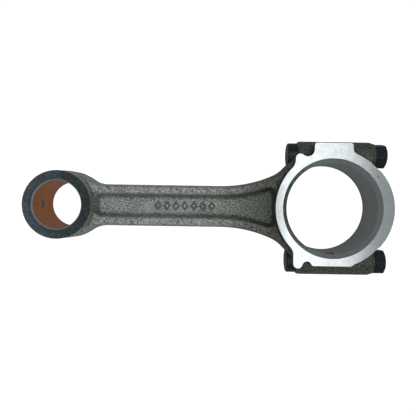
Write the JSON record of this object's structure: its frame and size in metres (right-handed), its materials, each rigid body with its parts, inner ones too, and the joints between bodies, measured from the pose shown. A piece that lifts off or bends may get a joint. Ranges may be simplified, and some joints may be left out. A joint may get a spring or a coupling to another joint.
{
  "type": "connecting rod",
  "caption": "Forged I-section connecting rod with a split, bolted big end and a bronze-lined small-end bush.",
  "frame": {"origin": "centre of the big-end bore at mid-width", "axes": "+X along the rod from the small end to the bearing cap, +Z along both bores, +Y towards the side with the taller top pad"},
  "size_m": [0.2229, 0.0838, 0.033],
  "materials": {
    "forged_steel": "shot-blasted forging with ground faces",
    "bush_bronze": "fine bored",
    "black_steel": "black oxide"
  },
  "bodies": {
    "rod": {"rod_forging": "forged_steel", "small_end_bush": "bush_bronze"},
    "cap": {"bearing_cap": "forged_steel"},
    "bolt_upper": {"cap_bolt_upper": "black_steel"},
    "bolt_lower": {"cap_bolt_lower": "black_steel"},
    "nut_upper": {"cap_nut_upper": "black_steel"},
    "nut_lower": {"cap_nut_lower": "black_steel"}
  },
  "joints": [
    {"name": "cap_lift_off", "type": "slide", "parent": "rod", "child": "cap", "axis": [1, 0, 0], "range_m": [0, 0.045]},
    {"name": "upper_nut_turn", "type": "hinge", "parent": "cap", "child": "nut_upper", "pos_m": [0.0283, 0.0332, 0], "axis": [1, 0, 0], "range_deg": [0, 2870]},
    {"name": "lower_nut_turn", "type": "hinge", "parent": "cap", "child": "nut_lower", "pos_m": [0.0283, -0.0332, 0], "axis": [1, 0, 0], "range_deg": [0, 2870]},
    {"name": "upper_bolt_draw", "type": "slide", "parent": "rod", "child": "bolt_upper", "axis": [-1, 0, 0], "range_m": [0, 0.0084]},
    {"name": "lower_bolt_draw", "type": "slide", "parent": "rod", "child": "bolt_lower", "axis": [-1, 0, 0], "range_m": [0, 0.0084]}
  ],
  "couplings": [
    {"joint": "upper_bolt_draw", "follows": "upper_nut_turn", "m_per_rad": 0.00015915},
    {"joint": "lower_bolt_draw", "follows": "lower_nut_turn", "m_per_rad": 0.00015915}
  ]
}
